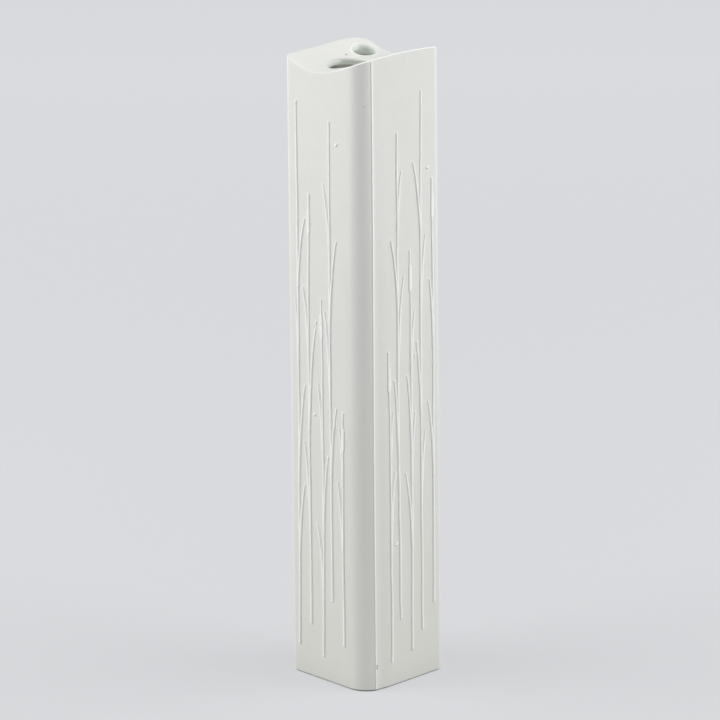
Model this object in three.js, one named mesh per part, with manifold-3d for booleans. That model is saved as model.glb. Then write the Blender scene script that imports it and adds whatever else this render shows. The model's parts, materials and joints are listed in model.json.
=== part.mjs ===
// A slim square porcelain vase with a wave-shaped closed top and two round mouths.
//
// The body was formed in a two-part mould, so it has two identical half walls. Each takes in one
// sharp corner and one round corner, and they meet at a raised seam beside each round corner.
// A cap closes the top: its surface is one wave that runs across the vase, from the left wall
// down into a trough and up to a sharp crest over the right wall. Stems go in through a large
// mouth in the trough and a small one in the rear corner. A foot plate closes the bottom, a
// glaze lining keeps the water in, and thin raised threads draw reeds on the four faces.
//
// Millimetres, +Z up, origin at the middle of the foot. The front face looks along -Y.

import * as THREE from "three";
import { mergeVertices } from "three/addons/utils/BufferGeometryUtils.js";
import Module from "manifold-3d";

// Body
const SIDE = 50;
const WALL = 3;
const ROUND_CORNER = 11.5;
const SHARP_CORNER = 3.3;
const SHARP_CORNER_INSIDE = 2;

// Mould seam beside each round corner: where the corner's arc stops, and the ridge on it
const SEAM_TURN = THREE.MathUtils.degToRad(24);
const SEAM_PROUD = 0.25;
const SEAM_HALF_WIDE = 0.5;
const FLANK_LONG = 7;

// Wave of the top, across the vase from the left wall to the right wall
const TROUGH_HIGH = 293.4;
const CREST_RISE = 10.2;
const WAVE_SHARES = [
  [0, 0.41],
  [0.15, 0.22],
  [0.33, 0],
  [0.53, 0.12],
  [0.71, 0.39],
  [0.85, 0.72],
  [1, 1],
];
const CREST_FALL = 2.3;
const CREST_PEAK_SHARE = 0.33;
const TOP_THICK = 2.8;
const CAP_DEEP = 25;
const FRONT_ROLL_WIDE = 2.6;
const FRONT_ROLL_DEEP = 1.4;
const FRONT_ROLL_END_SHARE = 0.55;
const REAR_ROLL_WIDE = 2.6;
const REAR_ROLL_DEEP = 3.8;

// Mouths: places are shares of the side, from the left wall and from the front wall
const LIP_ROUND = 1.2;
const LIP_TURN = THREE.MathUtils.degToRad(65);
const MAIN_MOUTH = { wide: 21, acrossShare: 0.458, deepShare: 0.396 };
const STEM_MOUTH = { wide: 11.2, acrossShare: 0.238, deepShare: 0.782 };

// Foot plate
const FOOT_HIGH = 6;
const FOOT_CHAMFER = 0.8;
const FOOT_RIM_WIDE = 4;
const FOOT_RECESS_DEEP = 1.2;
const FOOT_RECESS_ROUND_CORNER = 7;
const FOOT_RECESS_SHARP_CORNER = 1.5;

// Glaze lining, flush with the flat walls and pooled a little rounder in the corners
const GLAZE_THICK = 0.4;
const GLAZE_POOL = 0.7;

// Raised threads
const THREAD_WIDE = 1.25;
const THREAD_PROUD = 0.6;
const THREAD_TIP_SHARE = 0.45;
const SEED_HEAD_LONG = 13;
const SEED_HEAD_WIDE = 2.2;
const SEED_HEAD_PROUD = 0.9;
const SEED_HEAD_BELOW_TIP = 7;

const OVERRUN = 2;
const HALF = SIDE / 2;
const ARC_STEPS = 9;
const SMALL_ARC_STEPS = 4;
const MOUTH_STEPS = 48;
const LIP_STEPS = 3;
const WAVE_STEPS = 22;
const ROLL_STEPS = 5;
const DEPTH_STEPS = 6;
const STALK_STEPS = 10;
const LEAF_STEPS = 6;
const SEED_HEAD_STEPS = 6;

const RIDGE_TURN = SEAM_HALF_WIDE / ROUND_CORNER;

const wasm = await Module();
wasm.setup();

// Solids and booleans

function toSolid(geometry) {
  const bare = geometry.clone();
  bare.deleteAttribute("normal");
  bare.deleteAttribute("uv");
  const merged = mergeVertices(bare, 1e-4);
  return new wasm.Manifold(
    new wasm.Mesh({
      numProp: 3,
      vertProperties: new Float32Array(merged.attributes.position.array),
      triVerts: new Uint32Array(merged.index.array),
    }),
  );
}

function toGeometry(solid) {
  const mesh = solid.getMesh();
  const geometry = new THREE.BufferGeometry();
  geometry.setAttribute("position", new THREE.BufferAttribute(mesh.vertProperties, 3));
  geometry.setIndex(new THREE.BufferAttribute(mesh.triVerts, 1));
  const flat = geometry.toNonIndexed();
  flat.computeVertexNormals();
  return flat;
}

// A closed solid through rings of points, all of the same count. Each ring runs
// counter-clockwise, seen from the last ring. To close the two ends, `flatten` gives the place
// of a ring's point, or of its number, in the plane of the ring.
function loft(rings, flatten) {
  const count = rings[0].length;
  const last = (rings.length - 1) * count;
  const index = [];
  for (let r = 0; r < last; r += count) {
    for (let i = 0; i < count; i++) {
      const a = r + i;
      const b = r + ((i + 1) % count);
      index.push(a, b, b + count, a, b + count, a + count);
    }
  }
  const endFaces = (ring) => THREE.ShapeUtils.triangulateShape(ring.map(flatten), []);
  for (const [a, b, c] of endFaces(rings[0])) index.push(a, c, b);
  for (const [a, b, c] of endFaces(rings.at(-1))) index.push(last + a, last + b, last + c);
  const geometry = new THREE.BufferGeometry().setFromPoints(rings.flat());
  geometry.setIndex(index);
  return geometry;
}

const inPlan = (point) => new THREE.Vector2(point.x, point.y);

// A prism that may change its outline on the way up: each layer is an outline at a height.
function layeredPrism(layers) {
  const rings = layers.map(([outline, z]) => outline.map((p) => new THREE.Vector3(p.x, p.y, z)));
  return loft(rings, inPlan);
}

// Outlines of the body in plan

function arc(centreX, centreY, radius, from, to, steps) {
  const points = [];
  for (let i = 0; i <= steps; i++) {
    const turn = from + ((to - from) * i) / steps;
    points.push(
      new THREE.Vector2(centreX + radius * Math.cos(turn), centreY + radius * Math.sin(turn)),
    );
  }
  return points;
}

// The outside of the front left half, from the rear seam to the front seam, counter-clockwise.
// An inset draws it inside the true face, for the chamfer of the foot.
function outerHalf(inset) {
  const centre = HALF - ROUND_CORNER;
  const radius = ROUND_CORNER - inset;
  const sharpCentre = -HALF + SHARP_CORNER;
  const foot = seamPoint(radius);
  const flankEnd = new THREE.Vector2(HALF - inset, foot.y + FLANK_LONG);
  const flankStart = foot.clone().lerp(flankEnd, SEAM_HALF_WIDE / FLANK_LONG);
  return [
    seamPoint(radius + SEAM_PROUD).negate(),
    flankStart.negate(),
    flankEnd.negate(),
    ...arc(sharpCentre, sharpCentre, SHARP_CORNER - inset, Math.PI, 1.5 * Math.PI, SMALL_ARC_STEPS),
    ...arc(centre, -centre, radius, -0.5 * Math.PI, -SEAM_TURN - RIDGE_TURN, ARC_STEPS),
    seamPoint(radius + SEAM_PROUD),
  ];
}

// An outline without flanks and ridges, over the same stretch: `reach` is from the middle to
// the flat sides.
function plainHalf(reach, roundRadius, sharpRadius) {
  const centre = reach - roundRadius;
  const sharpCentre = -reach + sharpRadius;
  return [
    ...arc(-centre, centre, roundRadius, Math.PI - SEAM_TURN, Math.PI, SMALL_ARC_STEPS),
    ...arc(sharpCentre, sharpCentre, sharpRadius, Math.PI, 1.5 * Math.PI, SMALL_ARC_STEPS),
    ...arc(centre, -centre, roundRadius, -0.5 * Math.PI, -SEAM_TURN, ARC_STEPS),
  ];
}

const innerHalf = plainHalf(HALF - WALL, ROUND_CORNER - WALL, SHARP_CORNER_INSIDE);

function seamPoint(radius) {
  const centre = HALF - ROUND_CORNER;
  return new THREE.Vector2(
    centre + radius * Math.cos(SEAM_TURN),
    -centre - radius * Math.sin(SEAM_TURN),
  );
}

// A half and its copy turned half round, as one closed outline.
function bothHalves(half) {
  return [...half.slice(0, -1), ...half.slice(0, -1).map((p) => p.clone().negate())];
}

// The wave of the top

const waveLine = new THREE.SplineCurve(
  WAVE_SHARES.map(([across, up]) => new THREE.Vector2(across, up)),
);
const wavePoints = waveLine.getPoints(WAVE_STEPS);

// A quarter ellipse: how far an edge has rolled down, at a share of the roll's width.
function rollDrop(share) {
  const inRoll = THREE.MathUtils.clamp(share, 0, 1);
  return 1 - Math.sqrt(1 - inRoll * inRoll);
}

// Height of the top's surface, at a point of the wave line and a place along the vase's depth.
function topHeight(wavePoint, y) {
  const fade = 1 - THREE.MathUtils.smoothstep(wavePoint.x, 0, FRONT_ROLL_END_SHARE);
  const front = rollDrop((-y - HALF + FRONT_ROLL_WIDE) / FRONT_ROLL_WIDE);
  const rear = rollDrop((y - HALF + REAR_ROLL_WIDE) / REAR_ROLL_WIDE);
  const fromPeak = (y / SIDE + 0.5 - CREST_PEAK_SHARE) / (1 - CREST_PEAK_SHARE);
  return (
    TROUGH_HIGH +
    CREST_RISE * wavePoint.y -
    CREST_FALL * wavePoint.x ** 2 * fromPeak ** 2 -
    FRONT_ROLL_DEEP * fade * front -
    REAR_ROLL_DEEP * rear
  );
}

// Everything below the wave, moved down by `sunk`, over more than the vase's plan.
function belowWave(sunk) {
  const columns = wavePoints.map((p) => [p, (p.x - 0.5) * SIDE]);
  columns.unshift([wavePoints[0], -HALF - OVERRUN]);
  columns.push([wavePoints[WAVE_STEPS], HALF + OVERRUN]);
  const rows = [-HALF - OVERRUN];
  const level = SIDE - FRONT_ROLL_WIDE - REAR_ROLL_WIDE;
  for (let i = 0; i < ROLL_STEPS; i++) {
    rows.push(-HALF + FRONT_ROLL_WIDE * (1 - Math.cos((i / ROLL_STEPS) * Math.PI * 0.5)));
  }
  for (let i = 0; i <= DEPTH_STEPS; i++) {
    rows.push(-HALF + FRONT_ROLL_WIDE + (level * i) / DEPTH_STEPS);
  }
  for (let i = ROLL_STEPS - 1; i >= 0; i--) {
    rows.push(HALF - REAR_ROLL_WIDE * (1 - Math.cos((i / ROLL_STEPS) * Math.PI * 0.5)));
  }
  rows.push(HALF + OVERRUN);
  const low = TROUGH_HIGH - CAP_DEEP - OVERRUN;
  const sections = columns.map(([wavePoint, x]) => [
    new THREE.Vector3(x, rows[0], low),
    new THREE.Vector3(x, rows.at(-1), low),
    ...rows.toReversed().map((y) => new THREE.Vector3(x, y, topHeight(wavePoint, y) - sunk)),
  ]);
  return toSolid(loft(sections, (point) => new THREE.Vector2(point.y, point.z)));
}

// Pieces of the body

function halfWall() {
  const outline = [...outerHalf(0), ...innerHalf.toReversed()];
  return layeredPrism([
    [outline, FOOT_HIGH],
    [outline, TROUGH_HIGH - CAP_DEEP],
  ]);
}

// Height of the top's surface at any place on it.
function surfaceHeight(x, y) {
  const across = x / SIDE + 0.5;
  const next = Math.max(wavePoints.findIndex((p) => p.x >= across), 1);
  const [before, after] = wavePoints.slice(next - 1, next + 1);
  const share = (across - before.x) / (after.x - before.x);
  return topHeight(before.clone().lerp(after, share), y);
}

// A ring of points round a mouth.
function mouthRing({ acrossShare, deepShare }, radius, heightAt) {
  const points = [];
  for (let i = 0; i < MOUTH_STEPS; i++) {
    const turn = (i / MOUTH_STEPS) * 2 * Math.PI;
    const x = (acrossShare - 0.5) * SIDE + radius * Math.cos(turn);
    const y = (deepShare - 0.5) * SIDE + radius * Math.sin(turn);
    points.push(new THREE.Vector3(x, y, heightAt(x, y)));
  }
  return points;
}

// Cuts a round mouth whose lip is rounded along the wave: it opens out near the surface.
function mouthCutter(mouth) {
  const bore = mouth.wide / 2;
  const rings = [mouthRing(mouth, bore, () => TROUGH_HIGH - CAP_DEEP)];
  for (let i = 0; i <= LIP_STEPS; i++) {
    const turn = (i / LIP_STEPS) * LIP_TURN;
    const sunk = LIP_ROUND * (1 - Math.sin(turn));
    const radius = bore + LIP_ROUND * (1 - Math.cos(turn));
    rings.push(mouthRing(mouth, radius, (x, y) => surfaceHeight(x, y) - sunk));
  }
  const out = bore + LIP_ROUND;
  const above = LIP_ROUND * (Math.sin(LIP_TURN) - 1 + Math.cos(LIP_TURN) / Math.tan(LIP_TURN));
  rings.push(mouthRing(mouth, out, (x, y) => surfaceHeight(x, y) + above));
  rings.push(mouthRing(mouth, out, () => TROUGH_HIGH + CREST_RISE + OVERRUN));
  return toSolid(loft(rings, inPlan));
}

function cap() {
  const base = TROUGH_HIGH - CAP_DEEP;
  const high = TROUGH_HIGH + CREST_RISE + OVERRUN;
  const outline = bothHalves(outerHalf(0));
  const hollow = bothHalves(innerHalf);
  const outside = toSolid(layeredPrism([[outline, base], [outline, high]])).intersect(belowWave(0));
  const cavity = toSolid(layeredPrism([[hollow, base - OVERRUN / 2], [hollow, high]])).intersect(
    belowWave(TOP_THICK),
  );
  return toGeometry(
    outside.subtract(cavity).subtract(mouthCutter(MAIN_MOUTH)).subtract(mouthCutter(STEM_MOUTH)),
  );
}

function footPlate() {
  const face = bothHalves(outerHalf(0));
  const chamfered = bothHalves(outerHalf(FOOT_CHAMFER));
  const plate = layeredPrism([
    [chamfered, 0],
    [face, FOOT_CHAMFER],
    [face, FOOT_HIGH],
  ]);
  const rimInside = bothHalves(
    plainHalf(
      HALF - FOOT_CHAMFER - FOOT_RIM_WIDE,
      FOOT_RECESS_ROUND_CORNER,
      FOOT_RECESS_SHARP_CORNER,
    ),
  );
  const recess = layeredPrism([
    [rimInside, -OVERRUN],
    [rimInside, FOOT_RECESS_DEEP],
  ]);
  return toGeometry(toSolid(plate).subtract(toSolid(recess)));
}

// The room inside the vase, with its two throats, drawn in by `depth`. The throats end where
// the lips begin to open, or `above` higher.
function room(depth, above) {
  const round = ROUND_CORNER - WALL + GLAZE_POOL;
  const sharp = SHARP_CORNER_INSIDE + GLAZE_POOL;
  const outline = bothHalves(plainHalf(HALF - WALL - depth, round - depth, sharp - depth));
  const base = TROUGH_HIGH - CAP_DEEP;
  const high = TROUGH_HIGH + CREST_RISE + OVERRUN;
  let solid = toSolid(layeredPrism([[outline, base - OVERRUN / 2], [outline, high]]))
    .intersect(belowWave(TOP_THICK + depth))
    .add(toSolid(layeredPrism([[outline, FOOT_HIGH + depth], [outline, base]])));
  for (const mouth of [MAIN_MOUTH, STEM_MOUTH]) {
    const bore = mouth.wide / 2 - depth;
    const throat = [
      mouthRing(mouth, bore, () => base),
      mouthRing(mouth, bore, (x, y) => surfaceHeight(x, y) - LIP_ROUND + above),
    ];
    solid = solid.add(toSolid(loft(throat, inPlan)));
  }
  return solid;
}

// The glaze lines the walls, the floor and the underside of the top, and comes up the throats.
function glazeLining() {
  return toGeometry(room(0, 0).subtract(room(GLAZE_THICK, OVERRUN)));
}

// Raised threads, drawn flat with x across the face, y up the vase and z out of the face

// Cross-section of a thread: shares of its width to the left, and of how far it stands proud.
const THREAD_SECTION_SHARES = [
  [-0.5, 0],
  [0.5, 0],
  [0.25, 1],
  [-0.25, 1],
];

// A thread along a flat curve. `sizeAt` gives its width and height at a share of its length.
function thread(curve, steps, sizeAt) {
  const sections = [];
  for (let i = 0; i <= steps; i++) {
    const middle = curve.getPointAt(i / steps);
    const ahead = curve.getTangentAt(i / steps);
    const [wide, proud] = sizeAt(i / steps);
    sections.push(
      THREAD_SECTION_SHARES.map(([left, up]) => {
        const aside = left * wide;
        return new THREE.Vector3(middle.x - ahead.y * aside, middle.y + ahead.x * aside, up * proud);
      }),
    );
  }
  return toSolid(loft(sections, (_, i) => new THREE.Vector2(...THREAD_SECTION_SHARES[i])));
}

function tapered(share) {
  const size = THREE.MathUtils.lerp(1, THREAD_TIP_SHARE, share * share);
  return [THREAD_WIDE * size, THREAD_PROUD * size];
}

// A reed: a stalk that bows a little, its long leaves, and a seed head below the tip.
// Places are shares of the face's flat window, across it and up it.
function reed({ root, tip, bow, leaves, seedHead }, window) {
  const place = ([across, up]) =>
    new THREE.Vector2(window.left + across * window.wide, window.low + up * window.high);
  const from = place(root);
  const to = place(tip);
  const middle = from.clone().add(to).multiplyScalar(0.5);
  middle.x += 2 * bow * window.wide;
  const stalk = new THREE.QuadraticBezierCurve(from, middle, to);
  let solid = thread(stalk, STALK_STEPS, tapered);
  for (const [along, side, spreadShare, longShare] of leaves) {
    const start = stalk.getPointAt(along);
    const spread = side * spreadShare * window.wide;
    const long = longShare * window.high;
    const blade = new THREE.QuadraticBezierCurve(
      start,
      new THREE.Vector2(start.x + 0.3 * spread, start.y + 0.7 * long),
      new THREE.Vector2(start.x + spread, start.y + long),
    );
    solid = solid.add(thread(blade, LEAF_STEPS, tapered));
  }
  if (seedHead) {
    const long = stalk.getLength();
    const top = 1 - SEED_HEAD_BELOW_TIP / long;
    const bottom = top - SEED_HEAD_LONG / long;
    const core = new THREE.LineCurve(stalk.getPointAt(bottom), stalk.getPointAt(top));
    const spindle = (share) => {
      const full = Math.sqrt(Math.max(1 - (2 * share - 1) ** 2, THREAD_TIP_SHARE ** 2));
      return [SEED_HEAD_WIDE * full, SEED_HEAD_PROUD * full];
    };
    solid = solid.add(thread(core, SEED_HEAD_STEPS, spindle));
  }
  return toGeometry(solid);
}

// Reeds of the front and rear faces. Each leaf: where on the stalk, side, spread and length.
const TALL_REEDS = [
  { root: [0.05, 0.03], tip: [0.1, 0.95], bow: 0.02, seedHead: false,
    leaves: [[0.16, 1, 0.12, 0.13], [0.3, 1, 0.14, 0.17], [0.52, -1, 0.06, 0.11],
      [0.66, 1, 0.15, 0.12]] },
  { root: [0.29, 0.07], tip: [0.33, 0.8], bow: -0.015, seedHead: true,
    leaves: [[0.22, -1, 0.11, 0.15], [0.45, 1, 0.15, 0.18], [0.62, -1, 0.11, 0.12]] },
  { root: [0.53, 0.02], tip: [0.55, 0.63], bow: 0.02, seedHead: true,
    leaves: [[0.18, -1, 0.12, 0.12], [0.34, 1, 0.1, 0.14], [0.55, -1, 0.1, 0.13]] },
  { root: [0.72, 0.12], tip: [0.75, 0.93], bow: -0.01, seedHead: false,
    leaves: [[0.25, 1, 0.11, 0.13], [0.42, -1, 0.11, 0.15], [0.56, 1, 0.15, 0.16],
      [0.72, -1, 0.13, 0.12]] },
  { root: [0.95, 0.05], tip: [0.97, 0.45], bow: -0.015, seedHead: true,
    leaves: [[0.4, -1, 0.1, 0.12], [0.68, -1, 0.07, 0.1]] },
];

// Reeds of the right and left faces.
const SHORT_REEDS = [
  { root: [0.05, 0.02], tip: [0.03, 0.55], bow: 0.015, seedHead: true,
    leaves: [[0.35, 1, 0.1, 0.14], [0.62, 1, 0.07, 0.1]] },
  { root: [0.25, 0.09], tip: [0.24, 0.91], bow: -0.02, seedHead: false,
    leaves: [[0.34, -1, 0.08, 0.13], [0.5, 1, 0.14, 0.17], [0.64, -1, 0.13, 0.12],
      [0.8, 1, 0.1, 0.1]] },
  { root: [0.48, 0.03], tip: [0.49, 0.71], bow: 0.015, seedHead: true,
    leaves: [[0.26, -1, 0.13, 0.13], [0.42, 1, 0.09, 0.12], [0.5, -1, 0.08, 0.13],
      [0.7, 1, 0.09, 0.1]] },
  { root: [0.7, 0.06], tip: [0.74, 0.97], bow: -0.015, seedHead: false,
    leaves: [[0.24, 1, 0.1, 0.12], [0.4, -1, 0.09, 0.13], [0.58, 1, 0.12, 0.14],
      [0.74, -1, 0.14, 0.12]] },
  { root: [0.94, 0.1], tip: [0.96, 0.82], bow: 0.01, seedHead: true,
    leaves: [[0.3, -1, 0.1, 0.13], [0.6, -1, 0.07, 0.12]] },
];

// The flat stretch of a face that the reeds keep to, seen from outside. A face has its sharp
// corner on one side and the round one on the other. Past the seam, that one ends in a flank.
const THREAD_MARGIN = 1;
const flankEnd = seamPoint(ROUND_CORNER).y + FLANK_LONG;
const sharpEnd = HALF - SHARP_CORNER - THREAD_MARGIN;
const arcWindow = reedWindow(-sharpEnd, HALF - ROUND_CORNER - THREAD_MARGIN);
const flankWindow = reedWindow(flankEnd + THREAD_MARGIN, sharpEnd);

function reedWindow(left, right) {
  const low = FOOT_HIGH;
  return { left, wide: right - left, low, high: TROUGH_HIGH - FRONT_ROLL_DEEP - low };
}

// Materials

const bisque = new THREE.MeshStandardMaterial({ color: 0xe9e9e2, roughness: 0.62, metalness: 0 });
const raised = new THREE.MeshStandardMaterial({ color: 0xecebe5, roughness: 0.6, metalness: 0 });
const glaze = new THREE.MeshStandardMaterial({ color: 0xdfe8e2, roughness: 0.12, metalness: 0 });

// Assembly

const vase = new THREE.Group();

function place(name, geometry, material, parent = vase) {
  const mesh = new THREE.Mesh(geometry, material);
  mesh.name = name;
  parent.add(mesh);
  return mesh;
}

place("foot_plate", footPlate(), bisque);
place("wall_front_left", halfWall(), bisque);
place("wall_rear_right", halfWall(), bisque).rotation.z = Math.PI;
place("glaze_lining", glazeLining(), glaze);
place("wave_cap", cap(), bisque);

// Each face is a group whose x runs across it, y up it and z out of it.
function face(name, turn, reeds, window) {
  const upright = new THREE.Group();
  upright.rotation.x = Math.PI / 2;
  upright.position.y = -HALF;
  const turned = new THREE.Group();
  turned.rotation.z = turn;
  turned.add(upright);
  vase.add(turned);
  reeds.forEach((design, i) => place(`${name}_reed_${i + 1}`, reed(design, window), raised, upright));
}

face("front", 0, TALL_REEDS, arcWindow);
face("right", 0.5 * Math.PI, SHORT_REEDS, flankWindow);
face("rear", Math.PI, TALL_REEDS, arcWindow);
face("left", 1.5 * Math.PI, SHORT_REEDS, flankWindow);

export default vase;
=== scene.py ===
# %% [markdown]
# # A slim square porcelain vase
# The vase is a tall, slim, square column of matt white porcelain that was fired without an
# outside glaze. Its top is closed by a surface in the shape of one wave, with a large and a
# small round mouth for flower stems. The inside is glazed. Thin threads of porcelain slip
# draw reeds on the four faces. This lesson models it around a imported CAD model, which gives
# the true sizes, in metres, with the middle of the foot at the origin.

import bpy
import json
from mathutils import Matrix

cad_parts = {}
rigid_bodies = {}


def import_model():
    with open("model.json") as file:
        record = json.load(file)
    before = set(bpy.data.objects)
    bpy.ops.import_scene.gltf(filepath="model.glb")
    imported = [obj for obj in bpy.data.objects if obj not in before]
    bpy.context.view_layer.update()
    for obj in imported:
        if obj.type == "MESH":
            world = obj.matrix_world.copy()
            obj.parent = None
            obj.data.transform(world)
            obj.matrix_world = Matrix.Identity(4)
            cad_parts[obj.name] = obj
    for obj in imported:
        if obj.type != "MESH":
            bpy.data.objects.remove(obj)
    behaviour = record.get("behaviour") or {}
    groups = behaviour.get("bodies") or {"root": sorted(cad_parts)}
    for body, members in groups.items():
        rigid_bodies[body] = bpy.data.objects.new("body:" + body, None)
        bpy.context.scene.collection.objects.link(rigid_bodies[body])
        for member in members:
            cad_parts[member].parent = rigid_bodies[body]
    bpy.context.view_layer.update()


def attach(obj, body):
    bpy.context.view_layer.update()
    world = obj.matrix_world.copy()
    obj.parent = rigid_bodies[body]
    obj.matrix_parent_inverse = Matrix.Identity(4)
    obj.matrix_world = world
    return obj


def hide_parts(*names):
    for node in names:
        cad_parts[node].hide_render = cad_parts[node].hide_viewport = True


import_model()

# %% [markdown]
# ## Camera
# A long lens from a long way off keeps the upright edges nearly parallel, as a product
# photographer wants them. The camera stands in front of the vase's front right corner and
# looks down on it by about 18 degrees. Its place was worked out by fitting the corners of
# the vase to the photograph, so it is given here by angles and one distance.

# %% Camera
import math

import bmesh
import bpy
import numpy
from mathutils import Matrix, Vector

CAMERA_FAR = 3.5355
CAMERA_AZIMUTH = math.radians(46.0356)
CAMERA_ELEVATION = math.radians(18.2340)
CAMERA_YAW = math.radians(-0.0347)
CAMERA_PITCH = math.radians(-0.0005)
CAMERA_ROLL = math.radians(-0.5843)
CAMERA_AIM = Vector((0, 0, 0.1515))
SIGHT_ENDS = 20
LENS_LONG = 384.35
FILM_WIDE = 36


def turned(first, second, angle):
    """Two directions at right angles, turned in their own plane."""
    cos, sin = math.cos(angle), math.sin(angle)
    return first * cos + second * sin, second * cos - first * sin


flat = math.cos(CAMERA_ELEVATION)
away = Vector(
    (
        math.sin(CAMERA_AZIMUTH) * flat,
        -math.cos(CAMERA_AZIMUTH) * flat,
        math.sin(CAMERA_ELEVATION),
    )
)
ahead = -away
right = ahead.cross(Vector((0, 0, 1))).normalized()
above = right.cross(ahead)
ahead, right = turned(ahead, right, CAMERA_YAW)
ahead, above = turned(ahead, above, CAMERA_PITCH)
right, above = turned(right, above, CAMERA_ROLL)

bpy.ops.object.select_all(action="DESELECT")
bpy.ops.object.camera_add()
camera = bpy.context.object
camera.matrix_world = Matrix.Translation(CAMERA_AIM + away * CAMERA_FAR) @ (
    Matrix((right, above, -ahead)).transposed().to_4x4()
)
camera.data.lens = LENS_LONG
camera.data.sensor_width = FILM_WIDE
camera.data.clip_end = SIGHT_ENDS
bpy.context.scene.camera = camera
print("camera at", [round(v, 3) for v in camera.location])

# %% [markdown]
# ## Node sums
# Materials are worked out with small sums, such as a mask times a strength. Each sum could be
# a Math node placed by hand, but a long chain of them is hard to read. So one small class
# wraps a socket, and Python's own signs add the nodes.


# %% A socket that can be used in sums
class Wire:
    """An output socket of a finish. Sums with it add Math nodes."""

    def __init__(self, finish, socket):
        self.finish = finish
        self.socket = socket

    def sum(self, operation, *values):
        inputs = dict(enumerate(values))
        return self.finish.node("ShaderNodeMath", {"operation": operation}, inputs)

    def __add__(self, other):
        return self.sum("ADD", self, other)

    def __radd__(self, other):
        return self.sum("ADD", other, self)

    def __sub__(self, other):
        return self.sum("SUBTRACT", self, other)

    def __rsub__(self, other):
        return self.sum("SUBTRACT", other, self)

    def __mul__(self, other):
        return self.sum("MULTIPLY", self, other)

    def __rmul__(self, other):
        return self.sum("MULTIPLY", other, self)

    def __truediv__(self, other):
        return self.sum("DIVIDE", self, other)


class Finish:
    """A material whose nodes are made by one method."""

    def __init__(self, name):
        self.material = bpy.data.materials.new(name)
        self.material.use_nodes = True
        self.tree = self.material.node_tree
        self.tree.nodes.clear()

    def node(self, kind, settings=None, inputs=None, output=0):
        """Adds a node: its settings come first, then the values or links of its sockets."""
        made = self.tree.nodes.new(kind)
        for name, value in (settings or {}).items():
            setattr(made, name, value)
        for key, value in (inputs or {}).items():
            if isinstance(value, Wire):
                self.tree.links.new(value.socket, made.inputs[key])
            else:
                made.inputs[key].default_value = value
        return Wire(self, made.outputs[output])

    def surface(self, shader):
        end = self.tree.nodes.new("ShaderNodeOutputMaterial")
        self.tree.links.new(shader.socket, end.inputs["Surface"])


def smooth_step(value, low, high):
    """0 below one value and 1 above the other, with soft ends."""
    return value.finish.node(
        "ShaderNodeMapRange",
        {"interpolation_type": "SMOOTHSTEP"},
        {"Value": value, "From Min": low, "From Max": high, "To Min": 0, "To Max": 1},
    )


# %% [markdown]
# ## Floor, backdrop and light
# The vase stands on a pale grey sheet that sweeps up behind it, with no horizon. Two large
# soft boxes stand left and right, a little above the vase. So both faces are bright, the top
# is brightest and the rounded corner between the faces, which looks at the camera, is the
# darkest part. To the camera the sheet is half lit by the lamps, which keeps the vase's
# shadow, and half a tone of its own, which grows paler with the distance behind the vase. To
# the vase it is plain paper, which throws light back up.

# %% Sheet of paper
SHEET_WIDE = 9.0
SHEET_DEEP = 9.0
SWEEP_START = 2.6
SWEEP_RADIUS = 1.5
SWEEP_STEPS = 16
PAPER_NEAR = (0.775, 0.783, 0.804, 1)
PAPER_FAR = (0.933, 0.95, 0.983, 1)
PAPER_STRENGTH = 1.2
NEAR_END = -0.06
FAR_END = 1.0
LIT_TONE = (0.42, 0.42, 0.435, 1)
SHADOW_SHARE = 0.5
NARROW_GAP = 0.001

bpy.ops.object.select_all(action="DESELECT")
bpy.ops.mesh.primitive_plane_add(size=1)
sheet = bpy.context.object
sheet.name = "paper_sheet"
sheet.scale = (SHEET_WIDE, SHEET_DEEP / 2 + SWEEP_START, 1)
sheet.location = (0, (SWEEP_START - SHEET_DEEP / 2) / 2, 0)
bpy.ops.object.transform_apply(location=True, rotation=False, scale=True)
bpy.ops.object.mode_set(mode="EDIT")
bpy.ops.mesh.select_mode(type="EDGE")
bpy.ops.mesh.select_all(action="DESELECT")
shape = bmesh.from_edit_mesh(sheet.data)
for edge in shape.edges:
    edge.select_set(all(vertex.co.y > SWEEP_START - NARROW_GAP for vertex in edge.verts))
bmesh.update_edit_mesh(sheet.data)
for step in range(SWEEP_STEPS):
    low, high = (math.pi / 2 * (step + i) / SWEEP_STEPS for i in (0, 1))
    move = (
        0,
        SWEEP_RADIUS * (math.sin(high) - math.sin(low)),
        SWEEP_RADIUS * (math.cos(low) - math.cos(high)),
    )
    bpy.ops.mesh.extrude_edges_move(TRANSFORM_OT_translate={"value": move})
bpy.ops.mesh.extrude_edges_move(TRANSFORM_OT_translate={"value": (0, 0, SHEET_DEEP / 3)})
bpy.ops.object.mode_set(mode="OBJECT")
bpy.ops.object.shade_smooth()
sheet.rotation_euler.z = CAMERA_AZIMUTH
bpy.ops.object.transform_apply(location=False, rotation=True, scale=False)

paper = Finish("pale_paper")
sight = [
    paper.node("ShaderNodeLightPath", output=name)
    for name in ("Is Camera Ray", "Is Glossy Ray", "Is Transmission Ray")
]
seen = paper.node(
    "ShaderNodeMath",
    {"operation": "ADD", "use_clamp": True},
    {0: sight[0], 1: sight[1] + sight[2]},
)
lit = paper.node("ShaderNodeBsdfDiffuse", None, {"Color": LIT_TONE})
behind = paper.node(
    "ShaderNodeVectorMath",
    {"operation": "DOT_PRODUCT"},
    {
        0: paper.node("ShaderNodeTexCoord", output="Object"),
        1: (-math.sin(CAMERA_AZIMUTH), math.cos(CAMERA_AZIMUTH), 0),
    },
    "Value",
)
far = (behind - NEAR_END) / (FAR_END - NEAR_END)
tone = paper.node(
    "ShaderNodeMix",
    {"data_type": "RGBA"},
    {"Factor": far * (0.5 + 0.5 * far), 6: PAPER_NEAR, 7: PAPER_FAR},
    2,
)
own = paper.node("ShaderNodeEmission", None, {"Color": tone, "Strength": PAPER_STRENGTH})
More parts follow.
